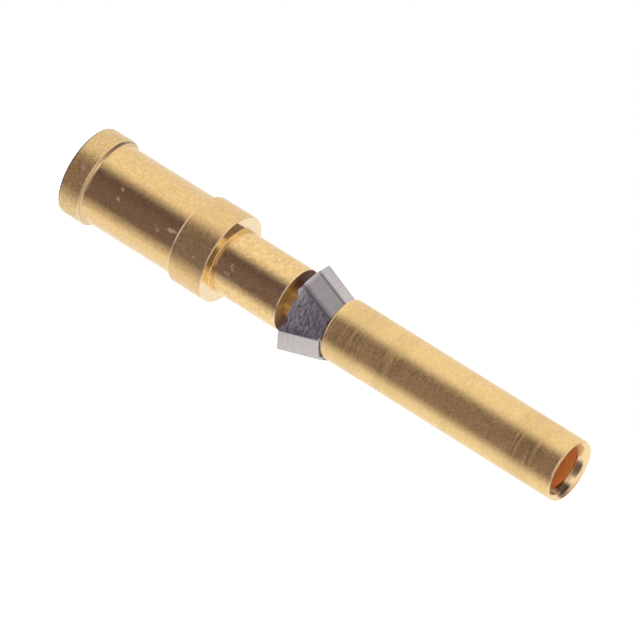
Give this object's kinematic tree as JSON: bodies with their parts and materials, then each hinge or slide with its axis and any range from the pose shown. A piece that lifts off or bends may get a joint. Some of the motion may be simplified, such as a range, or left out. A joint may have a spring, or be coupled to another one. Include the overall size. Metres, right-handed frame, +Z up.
{
  "type": "crimp socket contact",
  "caption": "Turned gold-plated socket contact: a rear crimp barrel with a flange and collar, a folded spring clip in a groove, and a plain front sleeve that takes a round pin.",
  "frame": {"origin": "on the surface that the contact lies on, under the middle of its length", "axes": "+X along the contact's axis from the wire end to the mouth, +Z up"},
  "size_m": [0.0226, 0.0038, 0.0037],
  "materials": {
    "gold_plate": "satin",
    "clip_steel": "brushed"
  },
  "bodies": {
    "root": {"contact_body": "gold_plate", "front_sleeve": "gold_plate", "retaining_clip": "clip_steel"}
  },
  "joints": []
}
